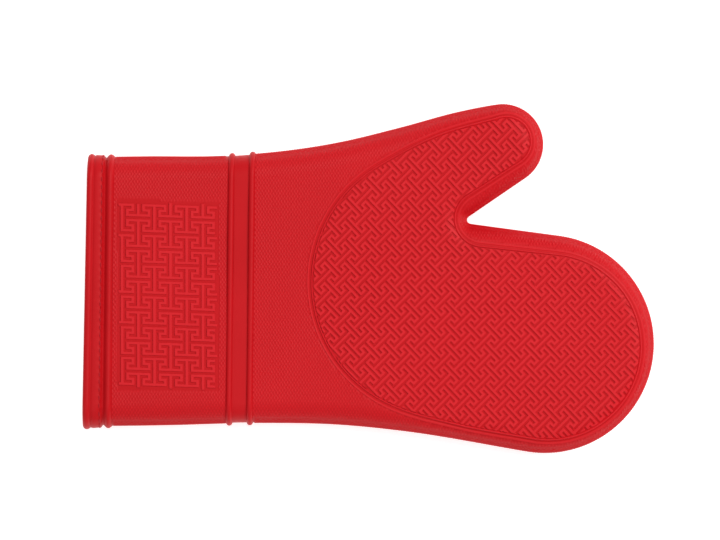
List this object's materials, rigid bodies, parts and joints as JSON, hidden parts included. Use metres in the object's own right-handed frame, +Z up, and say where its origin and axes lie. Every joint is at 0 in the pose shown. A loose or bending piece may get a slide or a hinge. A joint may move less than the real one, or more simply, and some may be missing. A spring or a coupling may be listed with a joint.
{
  "type": "oven mitt",
  "caption": "Moulded silicone oven mitt with ribbed cuff, raised fret grip areas on both sides and a padded cotton lining, lying flat.",
  "frame": {"origin": "on the surface it lies on, under the middle of the whole mitt", "axes": "+X from the open cuff to the fingertips, +Y towards the thumb, +Z up out of the palm side"},
  "size_m": [0.3274, 0.2, 0.0397],
  "materials": {
    "silicone": "satin moulded silicone",
    "lining_cotton": "plain woven cotton",
    "wadding": "polyester wadding",
    "thread": "sewing thread"
  },
  "bodies": {
    "palm": {"shell_palm": "silicone", "wadding_palm_palm_side": "wadding", "wadding_palm_back_side": "wadding", "lining_palm_palm_side": "lining_cotton", "lining_palm_back_side": "lining_cotton"},
    "cuff": {"shell_cuff": "silicone", "wadding_cuff_palm_side": "wadding", "wadding_cuff_back_side": "wadding", "lining_cuff_palm_side": "lining_cotton", "lining_cuff_back_side": "lining_cotton", "lining_hem": "lining_cotton", "rim_stitching": "thread"},
    "fingers": {"shell_fingers": "silicone", "wadding_fingers_palm_side": "wadding", "wadding_fingers_back_side": "wadding", "lining_fingers_palm_side": "lining_cotton", "lining_fingers_back_side": "lining_cotton"},
    "thumb": {"shell_thumb": "silicone", "wadding_thumb_palm_side": "wadding", "wadding_thumb_back_side": "wadding", "lining_thumb_palm_side": "lining_cotton", "lining_thumb_back_side": "lining_cotton"}
  },
  "joints": [
    {"name": "wrist_bend", "type": "hinge", "parent": "palm", "child": "cuff", "pos_m": [-0.0485, 0, 0.03457], "axis": [0, 1, 0], "range_deg": [0, 50], "stiffness_Nm_per_rad": 0.15},
    {"name": "finger_bend", "type": "hinge", "parent": "palm", "child": "fingers", "pos_m": [0.086, 0, 0.03123], "axis": [0, -1, 0], "range_deg": [0, 80], "stiffness_Nm_per_rad": 0.15},
    {"name": "thumb_bend", "type": "hinge", "parent": "palm", "child": "thumb", "pos_m": [0.0566, 0.0327, 0.03212], "axis": [0.4694, -0.8829, -0.0141], "range_deg": [0, 70], "stiffness_Nm_per_rad": 0.15}
  ]
}
